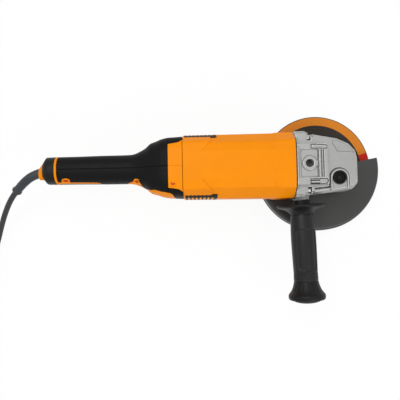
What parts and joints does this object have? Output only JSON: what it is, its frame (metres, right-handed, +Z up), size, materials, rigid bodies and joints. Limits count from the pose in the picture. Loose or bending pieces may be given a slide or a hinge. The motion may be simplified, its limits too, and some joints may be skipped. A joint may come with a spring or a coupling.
{
  "type": "angle grinder",
  "caption": "Large mains angle grinder: cast gear head with disc and half guard, faceted motor housing, long gripped rear handle with trigger and cord, screwed side handle.",
  "frame": {"origin": "on the spindle axis, in the outer face of the clamp nut", "axes": "+X towards the nose, +Y to the left, +Z up along the spindle, away from the disc's working face"},
  "size_m": [0.8243, 0.3775, 0.124],
  "materials": {
    "cast_aluminium": "satin",
    "orange_shell": "satin",
    "black_plastic": "matte",
    "soft_black": "matte",
    "red_plastic": "satin",
    "light_plastic": "matte",
    "steel": "satin",
    "dark_steel": "satin",
    "guard_steel": "satin",
    "laminated_steel": "matte",
    "copper": "satin",
    "carbon": "matte",
    "disc_face": "matte",
    "cord_rubber": "matte"
  },
  "bodies": {
    "body": {"gear_case": "cast_aluminium", "case_screws": "steel", "bearing_cover": "cast_aluminium", "cover_screws": "steel", "lower_bearing": "steel", "upper_bearing": "steel", "spindle_seal": "soft_black", "bearing_plate": "cast_aluminium", "front_bearing": "steel", "rear_bearing": "steel", "air_baffle": "black_plastic", "stator_core": "laminated_steel", "field_coils": "copper", "brush_holders": "black_plastic", "motor_housing": "orange_shell", "vent_left": "black_plastic", "vent_right": "black_plastic", "rear_handle_left": "orange_shell", "rear_handle_right": "orange_shell", "soft_grip_left": "soft_black", "soft_grip_right": "soft_black", "handle_screws": "dark_steel", "tail_cap": "black_plastic", "cord_bush": "orange_shell", "cord_clamp": "black_plastic", "switch_body": "black_plastic", "side_handle_stud": "steel", "side_handle_core": "black_plastic", "side_handle_grip": "soft_black", "strain_relief": "cord_rubber", "cord": "cord_rubber", "cord_coil": "cord_rubber", "plug_body": "cord_rubber", "plug_pins": "steel", "lock_spring": "steel", "trigger_spring": "steel", "brush_spring_upper": "steel", "brush_spring_lower": "steel"},
    "spindle": {"spindle": "steel", "crown_gear": "steel", "inner_flange": "steel", "grinding_disc": "disc_face", "clamp_nut": "steel"},
    "armature": {"armature_shaft": "steel", "armature_core": "laminated_steel", "armature_windings": "copper", "commutator": "copper", "fan": "light_plastic", "pinion": "steel", "pinion_nut": "steel"},
    "guard": {"guard_shell": "guard_steel", "guard_band": "guard_steel", "guard_screw": "steel"},
    "lock": {"lock_button": "black_plastic", "lock_pin": "steel"},
    "trigger": {"trigger": "black_plastic"},
    "lock_off": {"lock_off_lever": "red_plastic"},
    "plunger": {"switch_plunger": "light_plastic"},
    "upper_brush": {"brush_upper": "carbon"},
    "lower_brush": {"brush_lower": "carbon"}
  },
  "joints": [
    {"name": "armature_spin", "type": "hinge", "parent": "body", "child": "armature", "pos_m": [-0.1, 0, 0.075], "axis": [1, 0, 0], "continuous": true},
    {"name": "spindle_spin", "type": "hinge", "parent": "body", "child": "spindle", "pos_m": [0, 0, 0], "axis": [0, 0, 1], "continuous": true},
    {"name": "guard_turn", "type": "hinge", "parent": "body", "child": "guard", "pos_m": [0, 0, 0.023], "axis": [0, 0, 1], "range_deg": [-90, 70]},
    {"name": "lock_press", "type": "slide", "parent": "body", "child": "lock", "axis": [0, 0, -1], "range_m": [0, 0.007], "stiffness_N_per_m": 600, "springref_m": -0.004, "deforming": ["lock_spring"]},
    {"name": "trigger_pull", "type": "hinge", "parent": "body", "child": "trigger", "pos_m": [-0.399, 0, 0.0595], "axis": [0, -1, 0], "range_deg": [0, 6], "stiffness_Nm_per_rad": 4, "springref_deg": -4.58, "deforming": ["trigger_spring"]},
    {"name": "lock_off_tilt", "type": "hinge", "parent": "trigger", "child": "lock_off", "pos_m": [-0.334, 0, 0.05], "axis": [0, -1, 0], "range_deg": [0, 20], "stiffness_Nm_per_rad": 0.05, "springref_deg": -17.19},
    {"name": "plunger_slide", "type": "slide", "parent": "body", "child": "plunger", "axis": [0, 0, 1], "range_m": [0, 0.00462]},
    {"name": "upper_brush_slide", "type": "slide", "parent": "body", "child": "upper_brush", "axis": [0, 0, 1], "range_m": [0, 0.006], "stiffness_N_per_m": 300, "springref_m": -0.01, "deforming": ["brush_spring_upper"]},
    {"name": "lower_brush_slide", "type": "slide", "parent": "body", "child": "lower_brush", "axis": [0, 0, -1], "range_m": [0, 0.006], "stiffness_N_per_m": 300, "springref_m": -0.01, "deforming": ["brush_spring_lower"]}
  ],
  "couplings": [
    {"joint": "spindle_spin", "follows": "armature_spin", "ratio": -0.2973},
    {"joint": "plunger_slide", "follows": "trigger_pull", "m_per_rad": 0.044}
  ]
}
